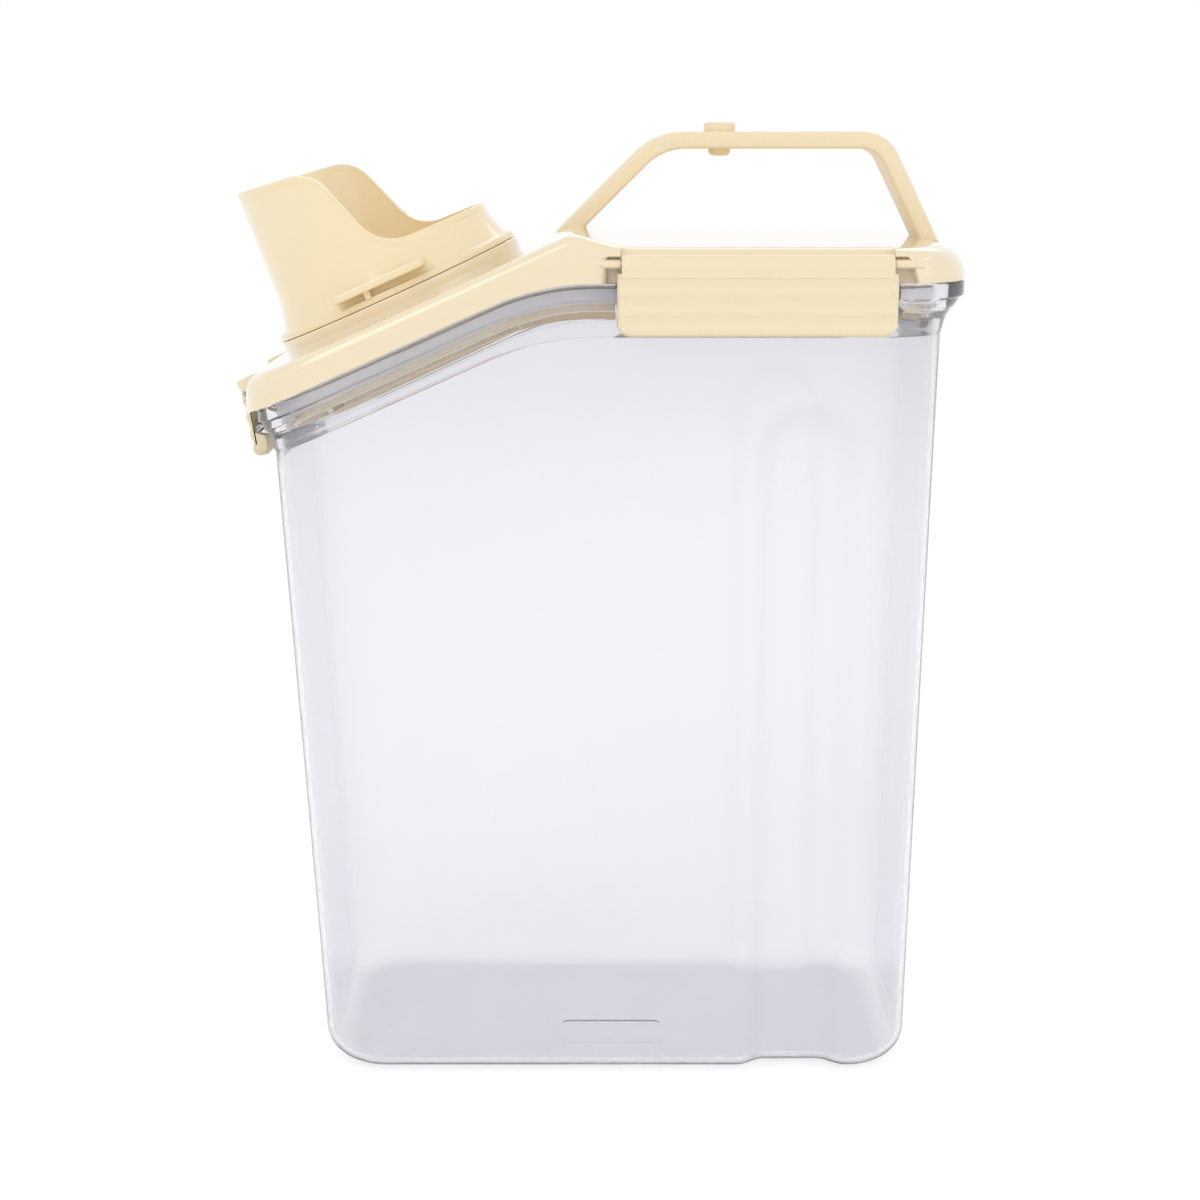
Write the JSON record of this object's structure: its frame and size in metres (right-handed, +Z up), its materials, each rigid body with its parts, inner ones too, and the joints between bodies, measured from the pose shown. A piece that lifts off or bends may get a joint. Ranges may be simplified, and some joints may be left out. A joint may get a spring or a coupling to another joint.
{
  "type": "dry food container with pour cup",
  "caption": "Clear tapered food tub with a clipped lid, a sloping pour end capped by a measuring cup, and a carry handle.",
  "frame": {"origin": "middle of the base, on the surface that the container stands on", "axes": "-X towards the sloping pour end, +X towards the back wall, Y across the container, +Z up"},
  "size_m": [0.2671, 0.154, 0.3594],
  "materials": {
    "clear_body": "gloss",
    "cream_gloss": "gloss",
    "cream_satin": "satin",
    "silicone": "satin",
    "pin_steel": "satin"
  },
  "bodies": {
    "container": {"tub": "clear_body"},
    "lid_group": {"lid": "cream_gloss", "lid_gasket": "silicone", "handle": "cream_satin", "handle_stud": "cream_satin", "near_latch_pin": "pin_steel", "far_latch_pin": "pin_steel", "front_latch_pin": "pin_steel"},
    "cup_group": {"cup": "cream_satin", "cup_seal": "silicone"},
    "near_clip": {"near_latch": "cream_satin"},
    "far_clip": {"far_latch": "cream_satin"},
    "front_clip": {"front_latch": "cream_satin"}
  },
  "joints": [
    {"name": "lid_lift", "type": "slide", "parent": "container", "child": "lid_group", "axis": [0, 0, 1], "range_m": [0, 0.014]},
    {"name": "cup_lift", "type": "slide", "parent": "lid_group", "child": "cup_group", "axis": [-0.4083, 0, 0.9128], "range_m": [0, 0.09]},
    {"name": "near_latch_turn", "type": "hinge", "parent": "lid_group", "child": "near_clip", "pos_m": [0.0486, -0.0734, 0.3115], "axis": [-1, 0, 0], "range_deg": [0, 90]},
    {"name": "far_latch_turn", "type": "hinge", "parent": "lid_group", "child": "far_clip", "pos_m": [0.0486, 0.0734, 0.3115], "axis": [1, 0, 0], "range_deg": [0, 90]},
    {"name": "front_latch_turn", "type": "hinge", "parent": "lid_group", "child": "front_clip", "pos_m": [-0.1362, 0, 0.262], "axis": [0, 1, 0], "range_deg": [0, 90]}
  ],
  "couplings": [
    {"joint": "near_latch_turn", "follows": "lid_lift", "rad_per_m": 112.19},
    {"joint": "far_latch_turn", "follows": "lid_lift", "rad_per_m": 112.19},
    {"joint": "front_latch_turn", "follows": "lid_lift", "rad_per_m": 112.19}
  ]
}
